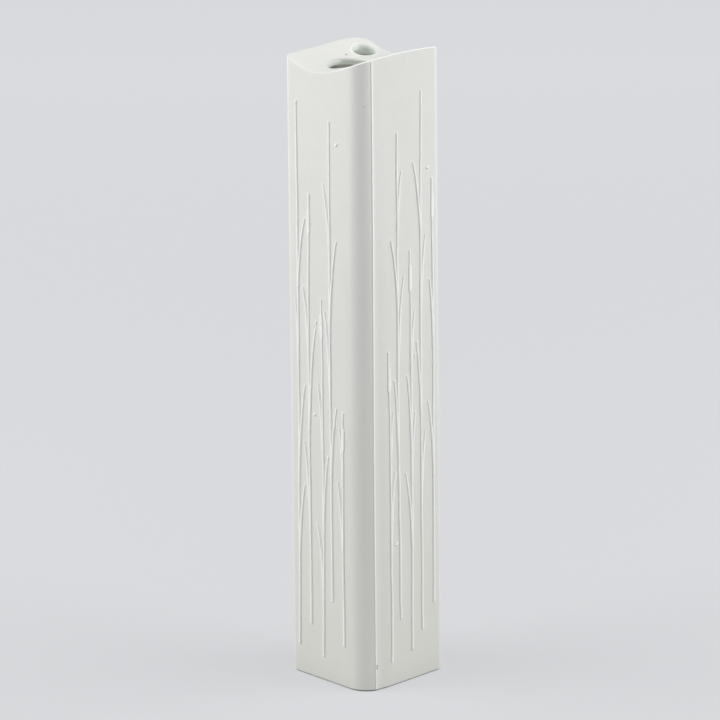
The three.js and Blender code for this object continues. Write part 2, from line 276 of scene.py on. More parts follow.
paper.surface(
    paper.node("ShaderNodeMixShader", None, {0: seen * (1 - SHADOW_SHARE), 1: lit, 2: own})
)
sheet.data.materials.append(paper.material)

# %% Lamps
LAMP_AIM = Vector((0, 0, 0.15))
LAMP_FAR = 1.0
LAMP_SIZE = 0.8
WORLD_STRENGTH = 0.5


def soft_box(name, azimuth, elevation, watts):
    """A square lamp that looks at the vase from an azimuth and an elevation, in degrees."""
    turn, tilt = math.radians(azimuth), math.radians(elevation)
    place = LAMP_AIM + LAMP_FAR * Vector(
        (math.sin(turn) * math.cos(tilt), -math.cos(turn) * math.cos(tilt), math.sin(tilt))
    )
    bpy.ops.object.light_add(type="AREA", location=place)
    lamp = bpy.context.object
    lamp.name = name
    lamp.data.shape = "SQUARE"
    lamp.data.size = LAMP_SIZE
    lamp.data.energy = watts
    lamp.rotation_euler = (LAMP_AIM - place).to_track_quat("-Z", "Y").to_euler()


soft_box("left_soft_box", -38, 31, 7.25)
soft_box("right_soft_box", 129, 31.5, 7.0)

world = bpy.data.worlds.new("studio")
bpy.context.scene.world = world
world.use_nodes = True
world.node_tree.nodes["Background"].inputs["Color"].default_value = (1, 1, 1, 1)
world.node_tree.nodes["Background"].inputs["Strength"].default_value = WORLD_STRENGTH
bpy.context.scene.view_settings.view_transform = "Standard"

# %% [markdown]
# ## The body
# The real body was formed in a mould, so its walls are straight and smooth, two of its upright
# corners are sharp and two are round, and a fine seam runs down beside each round corner. It
# could be cut from a block with booleans, but these leave ragged edges that catch the light.
# Here it is modelled flat first, where every ring of points is clean. A square is given its
# corners, rings are inset towards the mouths, and the walls are extruded down. Last, the flat
# top is lifted into its wave by one small formula.

# %% Sizes of the body
MM = 0.001
HALF = 25 * MM
ROUND_CORNER = 11.5 * MM
SHARP_CORNER = 3.3 * MM
WALL = 3 * MM
SHARP_CORNER_INSIDE = 2 * MM
TOP_THICK = 2.8 * MM
FLOOR_HIGH = 6 * MM
CHAMFER = 0.8 * MM
FOOT_RIM = 4 * MM
FOOT_RECESS = 1.2 * MM
RECESS_SLOPE = 0.35 * MM

TROUGH_HIGH = 293.4 * MM
CREST_RISE = 10.2 * MM
CREST_FALL = 2.3 * MM
CREST_PEAK = 0.33
WAVE = [(0, 0.41), (0.15, 0.22), (0.33, 0), (0.53, 0.12), (0.71, 0.39), (0.85, 0.72), (1, 1)]
WAVE_STARTS = TROUGH_HIGH - 25 * MM
WAVE_FULL = TROUGH_HIGH - 5 * MM

ARRIS = 0.5 * MM
ROLL_WIDE = 2.6 * MM
FRONT_ROLL = 1.4 * MM
FRONT_ROLL_ENDS = 0.55
REAR_ROLL = 3.8 * MM
TOP_RINGS = [0.02, 0.07, 0.15, 0.28, 0.5, 0.9, 1.4, 2, 2.6]

MAIN_MOUTH = (-2.1 * MM, -5.2 * MM, 10.5 * MM)
STEM_MOUTH = (-13.1 * MM, 14.1 * MM, 5.6 * MM)
MAIN_LIP = 1.1 * MM
STEM_LIP = 0.8 * MM
LIP_STEPS = 5

SEAM_TURN = math.radians(23)
SEAM_PROUD = 0.34 * MM
SEAM_SOFT = 0.3 * MM
GROOVE_DEEP = 0.07 * MM
GROOVE_BESIDE = 0.6 * MM
FLANK_LONG = 7 * MM

NARROW_FROM = 97 * MM
NARROWER = 3.2 * MM
NARROW_BEND = 1.35
NARROW_DEEP = 7 * MM
NARROW_FADE = 4 * MM
TURN_FURTHER = math.radians(14)


# %% Selecting by place
HAIR = 0.005 * MM


def choose(kind, test):
    """In edit mode, selects the vertices, edges or faces that pass a test and nothing else."""
    bpy.ops.mesh.select_mode(type=kind)
    bpy.ops.mesh.select_all(action="DESELECT")
    data = bpy.context.object.data
    cage = bmesh.from_edit_mesh(data)
    items = {"VERT": cage.verts, "EDGE": cage.edges, "FACE": cage.faces}[kind]
    found = [item for item in items if test(item)]
    for item in found:
        item.select_set(True)
    cage.select_flush_mode()
    bmesh.update_edit_mesh(data)
    return len(found)


def move_each(test, place):
    """In edit mode, moves each vertex that passes a test to the place that a rule gives it."""
    data = bpy.context.object.data
    cage = bmesh.from_edit_mesh(data)
    for vertex in [vertex for vertex in cage.verts if test(vertex)]:
        vertex.co = place(vertex.co)
    bmesh.update_edit_mesh(data)


def middle(item):
    """The middle of an edge or a face."""
    return sum((vertex.co for vertex in item.verts), Vector()) / len(item.verts)


def apart(point, other):
    """Distance in plan between two points."""
    return math.hypot(point[0] - other[0], point[1] - other[1])


def soft(share):
    """0 below 0 and 1 above 1, with soft ends."""
    share = min(max(share, 0), 1)
    return share * share * (3 - 2 * share)


# %% The outline in plan
ROUND_STEPS = 15
SHARP_STEPS = 6
FLAT_CUTS = 23
SEAM_CUTS = 5


def seam_foot(size, corner):
    """Where a round corner ends at the seam. The rear corner, −1, is the front one, 1, turned."""
    reach, radius = size[:2]
    turned = Vector((math.cos(SEAM_TURN), -math.sin(SEAM_TURN), 0)) * radius
    return (Vector((reach - radius, radius - reach, 0)) + turned) * corner


def draw_flank(reach, foot, corner):
    """Straightens what lies past the seam, up to where it meets the flat face."""

    def along(co):
        return (co.y - foot.y) * corner

    def to_flank(co):
        return Vector((foot.x + (reach * corner - foot.x) * along(co) / FLANK_LONG, co.y, co.z))

    move_each(
        lambda vertex: vertex.co.x * corner > 0 and HAIR < along(vertex.co) < FLANK_LONG,
        to_flank,
    )


def plan_outline(name, size, high, flanks):
    """A loop of edges: a square with two round and two sharp corners. Its size is how far it
    reaches from the middle, the radius of the round corners and that of the sharp ones."""
    reach, round_corner, sharp_corner = size
    bpy.ops.object.select_all(action="DESELECT")
    bpy.ops.mesh.primitive_plane_add(size=2 * reach, location=(0, 0, high))
    bpy.ops.object.transform_apply(location=True, rotation=False, scale=False)
    bpy.context.object.name = name
    bpy.ops.object.mode_set(mode="EDIT")
    for side, radius, steps in ((-1, round_corner, ROUND_STEPS), (1, sharp_corner, SHARP_STEPS)):
        choose(
            "VERT",
            lambda vertex: min(abs(vertex.co.x), abs(vertex.co.y)) > reach - HAIR
            and vertex.co.x * vertex.co.y * side > 0,
        )
        bpy.ops.mesh.bevel(affect="VERTICES", offset=radius, segments=steps)
    bpy.ops.mesh.select_all(action="SELECT")
    bpy.ops.mesh.delete(type="ONLY_FACE")
    choose("EDGE", lambda edge: edge.calc_length() > reach / 2)
    bpy.ops.mesh.subdivide(number_cuts=FLAT_CUTS)
    step = round_corner * math.pi / 2 / ROUND_STEPS
    for corner in (1, -1):
        foot = seam_foot(size, corner)
        if flanks:
            draw_flank(reach, foot, corner)
        choose("EDGE", lambda edge: apart(middle(edge), foot) < 0.9 * step)
        bpy.ops.mesh.subdivide(number_cuts=SEAM_CUTS)
    return bpy.context.object


def resized(co, old, new):
    """Where a point of an outline goes when the outline takes another size."""
    kind = 1 if co.x * co.y < 0 else 2
    old_centre, new_centre = old[0] - old[kind], new[0] - new[kind]

    def place(value):
        beyond = abs(value) - old_centre
        if beyond > 0:
            return math.copysign(new_centre + beyond * new[kind] / old[kind], value)
        return value * new_centre / old_centre

    return Vector((place(co.x), place(co.y), co.z))


# %% [markdown]
# ## One skin of the vase
# The outside of the wall, its inside and both sides of the glaze are the same form at other
# sizes. So one set of functions makes such a skin: an outline, rings, walls and two open
# mouths. Each point of the top keeps a note of how far inside the outline it lies, for the
# rolled edges.

# %% Rings, walls and mouths
SPOKE_CUTS = 14
WALL_CUTS = 30
STEM_POINTS = 48
STEM_CLEAR = 6.95 * MM
APART = 4 * MM
SMALLEST = 0.6 * MM
INNER_RING = 1.2
OUTER_STRIPS = (1.6 * MM, 1.15 * MM)
INNER_STRIPS = (0.6 * MM, 0.5 * MM)


def note_inside(far):
    """Notes on the selected points how far inside the outline they lie."""
    data = bpy.context.object.data
    cage = bmesh.from_edit_mesh(data)
    layer = cage.verts.layers.float["inside"]
    for vertex in cage.verts:
        if vertex.select:
            vertex[layer] = far
    bmesh.update_edit_mesh(data)


def draw_in(old, new, down=0):
    """Extrudes the selected loop and gives the new loop another size."""
    bpy.ops.mesh.extrude_edges_move(TRANSFORM_OT_translate={"value": (0, 0, -down)})
    move_each(lambda vertex: vertex.select, lambda co: resized(co, old, new))


def smaller(size, far):
    """An outline's size when it is drawn in. A corner keeps a small radius."""
    return (size[0] - far, max(size[1] - far, SMALLEST), max(size[2] - far, SMALLEST))


def ring_in(size, rings):
    """Draws the outline in ring by ring and notes how far inside each ring lies."""
    bpy.ops.mesh.select_all(action="SELECT")
    bmesh.from_edit_mesh(bpy.context.object.data).verts.layers.float.new("inside")
    for done, far in zip([0, *rings], rings):
        draw_in(smaller(size, done * MM), smaller(size, far * MM))
        note_inside(far * MM)


def choose_open(outer):
    """Selects the open loop of edges at the outline, or the one inside it."""
    layer = bmesh.from_edit_mesh(bpy.context.object.data).verts.layers.float["inside"]
    choose("EDGE", lambda edge: edge.is_boundary and (edge.verts[0][layer] < HAIR) == outer)


def drop_walls(high, floor):
    """Extrudes the outline down to the floor and cuts the walls into rows."""
    choose_open(True)
    bpy.ops.mesh.extrude_edges_move(TRANSFORM_OT_translate={"value": (0, 0, floor - high)})
    choose("EDGE", lambda edge: edge.calc_length() > 0.9 * (high - floor))
    bpy.ops.mesh.subdivide(number_cuts=WALL_CUTS)
    choose("EDGE", lambda edge: edge.is_boundary and middle(edge).z < floor + HAIR)


def pull_to_circle(mouth, radius, up=0):
    """Extrudes the selected loop of edges and moves the new points straight onto a circle."""
    bpy.ops.mesh.extrude_edges_move(TRANSFORM_OT_translate={"value": (0, 0, up)})
    note_inside(HALF)
    data = bpy.context.object.data
    cage = bmesh.from_edit_mesh(data)
    for vertex in cage.verts:
        if vertex.select:
            share = radius / apart(vertex.co, mouth)
            vertex.co.x = mouth[0] + (vertex.co.x - mouth[0]) * share
            vertex.co.y = mouth[1] + (vertex.co.y - mouth[1]) * share
    bmesh.update_edit_mesh(data)


def choose_mouth(mouth, radius, high):
    """Selects the edges of a circle round a mouth, at a height."""

    def on_circle(vertex):
        return (
            abs(apart(vertex.co, mouth) - radius) < HAIR and abs(vertex.co.z - high) < HAIR
        )

    return choose("EDGE", lambda edge: all(on_circle(vertex) for vertex in edge.verts))


def open_mouths(high, trim, strips):
    """Runs spokes to the large mouth, clears a round patch for the small one and joins a
    circle of points to the patch's edge. A strip of even faces goes round each mouth. The
    circle starts above its place, because two loops in one plane are joined the wrong way."""
    main_strip, stem_strip = strips
    radius = MAIN_MOUTH[2] - trim
    choose_open(False)
    pull_to_circle(MAIN_MOUTH, radius + main_strip)
    choose(
        "EDGE",
        lambda edge: middle(edge).z > high - HAIR
        and min(apart(v.co, MAIN_MOUTH) for v in edge.verts) < radius + main_strip + HAIR
        and max(apart(v.co, MAIN_MOUTH) for v in edge.verts) > radius + main_strip + MM,
    )
    bpy.ops.mesh.subdivide(number_cuts=SPOKE_CUTS)
    choose_mouth(MAIN_MOUTH, radius + main_strip, high)
    pull_to_circle(MAIN_MOUTH, radius)

    radius = STEM_MOUTH[2] - trim
    choose(
        "VERT",
        lambda v: v.co.z > high - HAIR and apart(v.co, STEM_MOUTH) < STEM_CLEAR,
    )
    bpy.ops.mesh.delete(type="VERT")
    bpy.ops.mesh.primitive_circle_add(
        vertices=STEM_POINTS, radius=radius + stem_strip, location=(*STEM_MOUTH[:2], high + APART)
    )
    note_inside(HALF)
    choose(
        "EDGE",
        lambda edge: len(edge.link_faces) < 2
        and apart(middle(edge), MAIN_MOUTH) > MAIN_MOUTH[2] - trim + HAIR,
    )
    bpy.ops.mesh.bridge_edge_loops()
    choose_mouth(STEM_MOUTH, radius + stem_strip, high + APART)
    bpy.ops.transform.translate(value=(0, 0, -APART))
    pull_to_circle(STEM_MOUTH, radius)


def inner_skin(name, trim):
    """A skin inside the wall, `trim` further in than the wall's inside."""
    high = TROUGH_HIGH - TOP_THICK - trim
    size = smaller((HALF - WALL, ROUND_CORNER - WALL, SHARP_CORNER_INSIDE), trim)
    obj = plan_outline(name, size, high, False)
    ring_in(size, [INNER_RING])
    drop_walls(high, FLOOR_HIGH + trim)
    bpy.ops.mesh.edge_face_add()
    open_mouths(high, trim, INNER_STRIPS)
    bpy.ops.object.mode_set(mode="OBJECT")
    return obj


# %% The outer skin, with the chamfered foot and its recess
size = (HALF, ROUND_CORNER, SHARP_CORNER)
body = plan_outline("porcelain_body", size, TROUGH_HIGH, True)
ring_in(size, TOP_RINGS)
drop_walls(TROUGH_HIGH, CHAMFER)
for far, down in ((CHAMFER, CHAMFER), (FOOT_RIM, 0), (RECESS_SLOPE, -FOOT_RECESS)):
    draw_in(size, smaller(size, far), down)
    size = smaller(size, far)
bpy.ops.mesh.edge_face_add()
open_mouths(TROUGH_HIGH, 0, OUTER_STRIPS)
bpy.ops.object.mode_set(mode="OBJECT")
print("outer skin: faces", len(body.data.polygons))

# %% [markdown]
# ### The front round corner
# In the photograph the round corner at the front isn't the same all the way up. In the lower
# third it keeps its radius. Above that it gets tighter, and the seam beside it moves round
# towards the right face, as happens when a mould is shaped by hand. The points near that corner
# are moved by a formula while the vase is still simple, before the inside is joined to it. A
# taper on the whole body would have drawn in the other corners too.

# %% The front round corner narrows towards the top
def corner_at(high):
    """The radius of the front round corner at a height, and how far it turns to the seam."""
    share = (max(high - NARROW_FROM, 0) / (TROUGH_HIGH - NARROW_FROM)) ** NARROW_BEND
    return ROUND_CORNER - NARROWER * share, math.pi / 2 - SEAM_TURN + TURN_FURTHER * share


def narrowed(co):
    """Where a point by the front round corner goes. Past the seam the move fades along the
    flank, and inwards it fades towards the mouth."""
    centre = HALF - ROUND_CORNER
    across, back = co.x - centre, -centre - co.y
    turn = math.pi / 2 - SEAM_TURN
    flank_end = seam_foot((HALF, ROUND_CORNER), 1).y + FLANK_LONG
    if across <= 0 or co.y > flank_end:
        return co
    angle, share = math.atan2(across, back), 1
    if angle > turn:
        angle, back = turn, across / math.tan(turn)
        share = (flank_end - co.y) / (flank_end + centre + back)
    far = math.hypot(across, back)
    radius, new_turn = corner_at(co.z)
    shift, angle = ROUND_CORNER - radius, angle * new_turn / turn
    share *= soft((far - ROUND_CORNER + NARROW_DEEP) / NARROW_FADE)
    move_across = shift + (far - shift) * math.sin(angle) - across
    move_back = shift + (far - shift) * math.cos(angle) - back
    return co + share * Vector((move_across, -move_back, 0))


for vertex in body.data.vertices:
    vertex.co = narrowed(vertex.co)

# %% The inside, joined to the outside through the two throats
inside = inner_skin("inside", 0)
bpy.ops.object.select_all(action="DESELECT")
inside.select_set(True)
body.select_set(True)
bpy.context.view_layer.objects.active = body
bpy.ops.object.join()
bpy.ops.object.mode_set(mode="EDIT")
for mouth, lip in ((MAIN_MOUTH, MAIN_LIP), (STEM_MOUTH, STEM_LIP)):
    choose("EDGE", lambda edge: edge.is_boundary and apart(middle(edge), mouth) < mouth[2])
    bpy.ops.mesh.bridge_edge_loops()
    choose_mouth(mouth, mouth[2], TROUGH_HIGH)
    bpy.ops.mesh.bevel(offset=lip, segments=LIP_STEPS, affect="EDGES")
bpy.ops.mesh.select_all(action="SELECT")
bpy.ops.mesh.normals_make_consistent(inside=False)
bpy.ops.object.mode_set(mode="OBJECT")
print("body: faces", len(body.data.polygons))

# %% [markdown]
# ## The seam and the wave
# The two halves of the mould leave a fine ridge beside each round corner, so the points there
# are pushed out a little, with a shallow groove next to it. The wave runs across the vase
# only: it falls from the left wall into a trough and rises to a crest over the right wall. So
# its height is read off one smooth line through seven points. The crest sinks a little towards
# the rear, and the top rolls over softly to the rear face and, near the left corner, to the
# front face. The other edges keep a small arris, which gives the crest its thin bright line. A
# second note on each point holds painted highlights: on the lit side of each seam's ridge, along
# that arris near the crest, and a little on the upright corners.

# %% The seam
def seam_at(high, corner):
    """Where the seam runs at a height, the way outwards and the way along the outline."""
    radius, turn = corner_at(high if corner > 0 else 0)
    outward = Vector((math.sin(turn), -math.cos(turn), 0)) * corner
    foot = Vector((1, -1, 0)) * corner * (HALF - radius) + outward * radius
    return foot, outward, Vector((math.cos(turn), math.sin(turn), 0)) * corner


def on_corner(co):
    """1 on the rounding of an upright corner, 0 on the faces."""
    round_one = co.x * co.y < 0
    radius = corner_at(co.z)[0] if round_one and co.x > 0 else ROUND_CORNER
    radius = radius if round_one else SHARP_CORNER
    across, deep = abs(co.x) - HALF + radius, abs(co.y) - HALF + radius
    turn = math.atan2(max(across, 0), max(deep, HAIR))
    return soft(min(turn, math.pi / 2 - turn) / CORNER_SOFT)


CORNER_PALE = 0.17
CORNER_SOFT = 0.2
SEAM_PALE_WIDE = 1.5 * SEAM_SOFT
SEAM_PALE_AT_FOOT = 0.55
SEAM_PALE_FULL = 220 * MM
CREST_LINE = 0.7 * MM
CREST_LINE_SOFT = 0.4 * MM
CREST_STARTS = 8 * MM
painted_highlight = body.data.attributes.new("painted_highlight", "FLOAT", "POINT")
notes = body.data.attributes["inside"].data
# A little painted highlight on the roundings of the upright corners.
for vertex, note, pale in zip(body.data.vertices, notes, painted_highlight.data):
    pale.value = CORNER_PALE * on_corner(vertex.co) * max(1 - note.value / ARRIS, 0)
for corner in (1, -1):
    for vertex, note, pale in zip(body.data.vertices, notes, painted_highlight.data):
        foot, outward, onward = seam_at(vertex.co.z, corner)
        far = math.copysign(apart(vertex.co, foot), (vertex.co - foot).dot(onward))
        ridge = math.exp(-((far / SEAM_SOFT) ** 2))
        groove = math.exp(-(((far + GROOVE_BESIDE) / SEAM_SOFT) ** 2))
        lit_side = math.exp(-(((far - SEAM_SOFT) / SEAM_PALE_WIDE) ** 2))
        on_edge = max(1 - note.value / ARRIS, 0)
        vertex.co += outward * (SEAM_PROUD * ridge - GROOVE_DEEP * groove) * on_edge
        # A painted highlight on the lit side of the seam's ridge, fainter towards the foot.
        up = soft(vertex.co.z / SEAM_PALE_FULL)
        pale.value += lit_side * on_edge * (SEAM_PALE_AT_FOOT + (1 - SEAM_PALE_AT_FOOT) * up)
        # A painted highlight along the arris near the crest.
        if HAIR < note.value < CREST_LINE and corner > 0:
            on_crest = soft((vertex.co.x - CREST_STARTS) / CREST_STARTS)
            pale.value += on_crest * soft((CREST_LINE - note.value) / CREST_LINE_SOFT)


# %% The wave
def smooth_line(points, fineness=40):
    """A smooth line through points, as two lists: the places across and the heights."""
    padded = [points[0], *points, points[-1]]
    line = []
    for before, start, end, after in zip(padded, padded[1:], padded[2:], padded[3:]):
        for step in range(fineness):
            t = step / fineness
            line.append(
                [
                    0.5 * (2 * b + (c - a) * t + (2 * a - 5 * b + 4 * c - d) * t * t
                    + (3 * b - a - 3 * c + d) * t**3)
                    for a, b, c, d in zip(before, start, end, after)
                ]
            )
    line.append(points[-1])
    return list(zip(*line))


WAVE_ACROSS, WAVE_UP = smooth_line(WAVE)


def roll(inside, wide, deep):
    """How far an edge has rolled down, a distance inside it: a quarter of an ellipse."""
    share = max(1 - max(inside, 0) / wide, 0)
    return deep * (1 - math.sqrt(1 - share * share))


def wave(x, y):
    """Height of the wave above the trough."""
    across, deep = x / HALF / 2 + 0.5, y / HALF / 2 + 0.5
    from_peak = (deep - CREST_PEAK) / (1 - CREST_PEAK)
    height = CREST_RISE * numpy.interp(across, WAVE_ACROSS, WAVE_UP)
    return height - CREST_FALL * across**2 * from_peak**2


def rolled(x, y, inside):
    """How far the top is rolled down there. `inside` is the distance from the outline."""
    front = FRONT_ROLL * (1 - soft((x / HALF / 2 + 0.5) / FRONT_ROLL_ENDS))
    return max(
        roll(inside, ARRIS, ARRIS),
        roll(y + HALF, ROLL_WIDE, front),
        roll(HALF - y, ROLL_WIDE, REAR_ROLL),
    )


def lift(obj):
    """Lifts the flat top, and the walls right below it, into the wave."""
    layer = obj.data.attributes["inside"].data
    for vertex, note in zip(obj.data.vertices, layer):
        x, y, z = vertex.co
        share = soft((z - WAVE_STARTS) / (WAVE_FULL - WAVE_STARTS))
        vertex.co.z += share * (wave(x, y) - rolled(x, y, note.value))


def finish_shape(obj):
    """Smooth shading, with the flat faces leading."""
    bpy.ops.object.select_all(action="DESELECT")
    obj.select_set(True)
    bpy.context.view_layer.objects.active = obj
    bpy.ops.object.shade_smooth()
    bpy.ops.object.modifier_add(type="WEIGHTED_NORMAL")
    bpy.context.object.modifiers[-1].keep_sharp = True
    bpy.ops.object.modifier_apply(modifier=bpy.context.object.modifiers[-1].name)


lift(body)
finish_shape(body)
print("body reaches", max(vertex.co.z for vertex in body.data.vertices))

# %% [markdown]
# ## The glaze
# The inside is lined with a glossy glaze that was poured in and out again. It is a closed skin
# of its own, less than half a millimetre thick, made by the same functions: a back skin that
# lies a hair inside the wall's clay and a glossy skin further in. Only the glossy one is drawn
# up into the two throats, where it ends in a rounded edge a little below the lips, because the
# glaze was wiped off there. Then the two skins are bridged around each throat.

# %% The glaze lining
GLAZE_THICK = 0.4 * MM
SUNK = 0.04 * MM
GLAZE_BELOW_LIP = 0.1 * MM
RIM_FADES = 1.3
ROUNDED_EDGE = [(1, 0.9), (0.93, 0.5), (0.72, 0.22), (0.4, 0.06), (0.05, 0), (-0.1, 0)]

back = inner_skin("glaze_back", -SUNK)
glaze = inner_skin("porcelain_glaze", GLAZE_THICK)
bpy.ops.object.mode_set(mode="EDIT")
for mouth, lip in ((MAIN_MOUTH, MAIN_LIP), (STEM_MOUTH, STEM_LIP)):
    edge = TROUGH_HIGH - lip - GLAZE_BELOW_LIP
    radius, high = mouth[2] - GLAZE_THICK, TROUGH_HIGH - TOP_THICK - GLAZE_THICK
    for share, down in ROUNDED_EDGE:
        new_radius, new_high = mouth[2] - share * GLAZE_THICK, edge - down * MM
        choose_mouth(mouth, radius, high)
        pull_to_circle(mouth, new_radius, new_high - high)
        radius, high = new_radius, new_high
bpy.ops.object.mode_set(mode="OBJECT")
bpy.ops.object.select_all(action="DESELECT")
back.select_set(True)
glaze.select_set(True)
bpy.context.view_layer.objects.active = glaze
bpy.ops.object.join()
bpy.ops.object.mode_set(mode="EDIT")
for mouth in (MAIN_MOUTH, STEM_MOUTH):
    choose("EDGE", lambda edge: edge.is_boundary and apart(middle(edge), mouth) < mouth[2] + MM)
    bpy.ops.mesh.bridge_edge_loops()
bpy.ops.mesh.select_all(action="SELECT")
bpy.ops.mesh.normals_make_consistent(inside=False)
bpy.ops.object.mode_set(mode="OBJECT")
rim = glaze.data.attributes.new("rim", "FLOAT", "POINT")
throat = glaze.data.attributes.new("throat", "FLOAT", "POINT")
for number, vertex in enumerate(glaze.data.vertices):
    down = (TROUGH_HIGH - MAIN_LIP - vertex.co.z) / (TOP_THICK + GLAZE_THICK - MAIN_LIP)
    rim.data[number].value = soft(1 - RIM_FADES * down)
    if any(apart(vertex.co, mouth) < mouth[2] + HAIR for mouth in (MAIN_MOUTH, STEM_MOUTH)):
        throat.data[number].value = max(down, 0) if down < 1.01 else 0
lift(glaze)
finish_shape(glaze)
print("glaze: faces", len(glaze.data.polygons))

# %% [markdown]
# ## The reeds
# On the real vase, thin threads of liquid porcelain were trailed onto the faces from a fine
# nozzle. So each line is a small round cord that was laid down by hand: it wanders a little,
# swells and thins, and starts and ends in a small drop. Here and there a drop fell beside a
# line. They could be drawn with a bump in the material, but then they would cast no shadow.
# Here each reed is a curve object with a round bevel. It is drawn flat, with x across the
# face, y up the vase and z out of the face, and is made a mesh. The ring of points at each end
# of a line is merged into one, so that the cord is closed. Then its back is pressed flat into
# the wall, and it is turned onto its face.

# %% Designs of the reeds
# Root and tip are shares across and up the face. Then come the bow of the stalk, whether the
# reed has a seed head, and its leaves: where on the stalk, to which side, spread and length.
TALL_REEDS = [
    ((0.05, 0.03), (0.1, 0.95), 0.02, False,
     [(0.16, 1, 0.12, 0.13), (0.3, 1, 0.14, 0.17), (0.52, -1, 0.06, 0.11), (0.66, 1, 0.15, 0.12)]),
    ((0.29, 0.07), (0.33, 0.8), -0.015, True,
     [(0.22, -1, 0.11, 0.15), (0.45, 1, 0.15, 0.18), (0.62, -1, 0.11, 0.12)]),
    ((0.53, 0.02), (0.55, 0.63), 0.02, True,
     [(0.18, -1, 0.12, 0.12), (0.34, 1, 0.1, 0.14), (0.55, -1, 0.1, 0.13)]),
    ((0.72, 0.12), (0.75, 0.93), -0.01, False,
     [(0.25, 1, 0.11, 0.13), (0.42, -1, 0.11, 0.15), (0.56, 1, 0.15, 0.16),
      (0.72, -1, 0.13, 0.12)]),
    ((0.95, 0.05), (0.97, 0.45), -0.015, True,
     [(0.4, -1, 0.1, 0.12), (0.68, -1, 0.07, 0.1)]),
]
SHORT_REEDS = [
    ((0.05, 0.02), (0.03, 0.55), 0.015, True,
     [(0.35, 1, 0.1, 0.14), (0.62, 1, 0.07, 0.1)]),
    ((0.25, 0.09), (0.24, 0.91), -0.02, False,
     [(0.34, -1, 0.08, 0.13), (0.5, 1, 0.14, 0.17), (0.64, -1, 0.13, 0.12), (0.8, 1, 0.1, 0.1)]),
    ((0.48, 0.03), (0.49, 0.71), 0.015, True,
     [(0.26, -1, 0.13, 0.13), (0.42, 1, 0.09, 0.12), (0.5, -1, 0.08, 0.13), (0.7, 1, 0.09, 0.1)]),
    ((0.7, 0.06), (0.74, 0.97), -0.015, False,
     [(0.24, 1, 0.1, 0.12), (0.4, -1, 0.09, 0.13), (0.58, 1, 0.12, 0.14), (0.74, -1, 0.14, 0.12)]),
    ((0.94, 0.1), (0.96, 0.82), 0.01, True,
     [(0.3, -1, 0.1, 0.13), (0.6, -1, 0.07, 0.12)]),
]

# %% The flat stretch of a face that the reeds keep to
REED_LOW = 6 * MM
REED_HIGH = TROUGH_HIGH - FRONT_ROLL - REED_LOW
MARGIN = 1 * MM
SHARP_END = HALF - SHARP_CORNER - MARGIN
ARC_WINDOW = (-SHARP_END, HALF - ROUND_CORNER - MARGIN)
FLANK_END = seam_foot((HALF, ROUND_CORNER), 1).y + FLANK_LONG
FLANK_WINDOW = (FLANK_END + MARGIN, SHARP_END)

# %% A trailed line
from mathutils import noise

THREAD_WIDE = 1.3 * MM
THREAD_PROUD = 0.65 * MM
THREAD_SUNK = 0.07 * MM
THREAD_POLE = 0.001 * MM
STEP = 1.1 * MM
END_STEPS = [0, 0.03, 0.1, 0.2, 0.33, 0.5, 0.75]
END_ROUND = 0.5 * MM
START_DROP = 0.2
END_DROP = 0.1
WANDER = 0.3 * MM
WANDER_GROWS = 12 * MM
WANDER_LONG = 30 * MM
UNSTEADY = [(0.08, 6 * MM), (0.05, 1.5 * MM)]
LEAF_TIP = 0.65
LEAF_BEND = (0.3, 0.7)
SMALL_TIP = 0.8


def steady(place, seed):
    """Smooth noise between −1 and 1 along a line, the same on every run."""
    return noise.noise(Vector((place, 7.3 * seed, 0.5)))


def stations(long):
    """Places along a line: close together at its ends, then in even steps."""
    ends = [step * MM for step in END_STEPS]
    count = max(round((long - 2 * ends[-1]) / STEP), 1)
    even = [ends[-1] + (long - 2 * ends[-1]) * i / count for i in range(1, count)]
    return ends + even + [long - end for end in reversed(ends)]


def thickness(along, long, seed):
    """Share of the full thickness: rounded ends, a drop at each, and an unsteady hand."""
    from_end = min(along, long - along)
    share = min(from_end / END_ROUND, 1)
    rounded = math.sqrt(1 - (1 - share) ** 2)
    drops = START_DROP * math.exp(-((along / MM) ** 2))
    drops += END_DROP * math.exp(-(((long - along) / MM) ** 2))
    hand = sum(
        share * steady(along / long_wave, seed + number)
        for number, (share, long_wave) in enumerate(UNSTEADY)
    )
    return rounded * (1 + drops + hand)


def trail(curve, bends, seed, tip_share=0.75, wander=WANDER, size=1):
    """Adds one line to a curve object, along a bend through three points."""
    start, control, end = bends
    long = (end - start).length

    def place(share):
        return start * (1 - share) ** 2 + control * 2 * share * (1 - share) + end * share**2

    places = stations(long)
    spline = curve.data.splines.new("POLY")
    spline.points.add(len(places) - 1)
    for point, along in zip(spline.points, places):
        share = along / long
        spot = place(share)
        spot.x += wander * min(along / WANDER_GROWS, 1) * steady(along / WANDER_LONG, seed)
        point.co = (*spot, 1)
        point.radius = size * thickness(along, long, seed) * (1 + (tip_share - 1) * share**2)
    return place


# %% A seed head
SEED_HEAD_LONG = 13 * MM
SEED_HEAD_BELOW_TIP = 7 * MM
GRAINS = 11
GRAIN_LONG = 2.9 * MM
GRAIN_ROOT = 0.12 * MM
GRAIN_LEAN = 0.62 * MM
GRAIN_UNSTEADY = 0.06 * MM
GRAIN_BOW = 0.22 * MM
GRAIN_SIZE = 0.82


def seed_head(curve, place, long, seed):
    """Small drops of slip that lie left and right of the stalk, below its tip."""
    top = long - SEED_HEAD_BELOW_TIP
    for grain in range(GRAINS):
        share = grain / (GRAINS - 1)
        along = top - SEED_HEAD_LONG + share * (SEED_HEAD_LONG - GRAIN_LONG)
        spot = place(along / long)
        side = 1 if grain % 2 else -1
        root = spot + Vector((side * GRAIN_ROOT, 0, 0))
        lean = GRAIN_LEAN + GRAIN_UNSTEADY * steady(grain, seed)
        lean *= math.sqrt(1 - (0.9 * share) ** 2)
        tip = spot + Vector((side * lean, GRAIN_LONG, 0))
        control = (root + tip) / 2 + Vector((side * GRAIN_BOW, 0, 0))
        trail(curve, (root, control, tip), seed + grain, SMALL_TIP, 0, GRAIN_SIZE)


